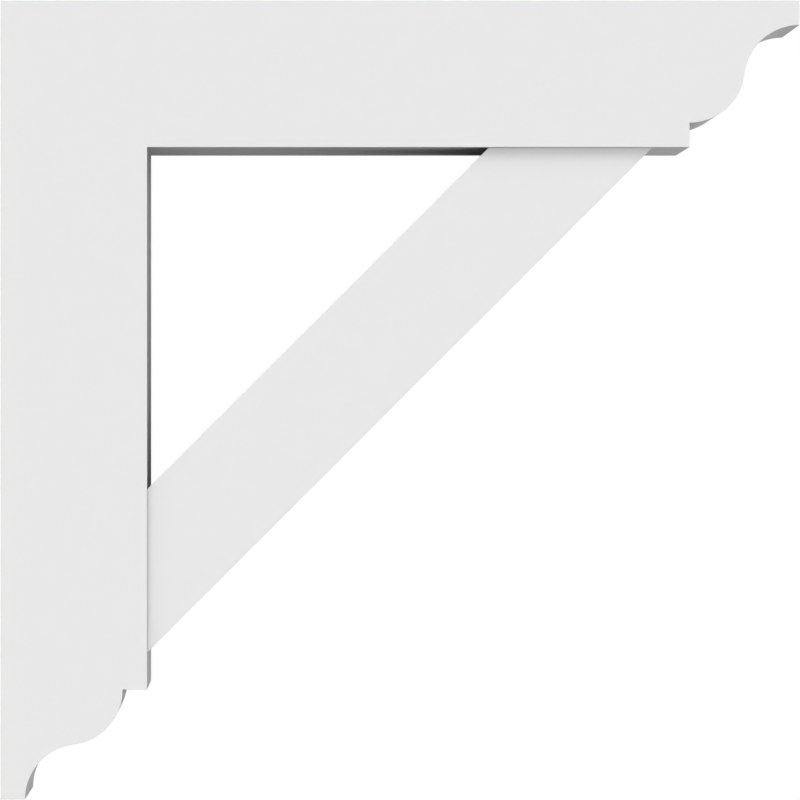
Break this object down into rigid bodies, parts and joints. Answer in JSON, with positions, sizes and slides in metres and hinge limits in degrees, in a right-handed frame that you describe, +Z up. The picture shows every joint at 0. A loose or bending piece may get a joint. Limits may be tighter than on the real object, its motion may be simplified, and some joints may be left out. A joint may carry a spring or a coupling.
{
  "type": "architectural bracket",
  "caption": "Triangular eave bracket: wall leg and roof arm with ogee-cut tips, joined by a straight diagonal brace.",
  "frame": {"origin": "middle of the top back edge, where the wall face and the soffit face meet", "axes": "+X out from the wall along the arm; +Z up, so that the leg hangs along -Z; +Y along the wall, with the front face of the picture at -Y"},
  "size_m": [0.762, 0.1396, 0.762],
  "materials": {
    "white_pvc": "matte",
    "coated_steel": "satin"
  },
  "bodies": {
    "root": {"arm": "white_pvc", "leg": "white_pvc", "brace": "white_pvc", "corner_screws": "coated_steel", "brace_head_screws": "coated_steel", "brace_foot_screws": "coated_steel"}
  },
  "joints": []
}
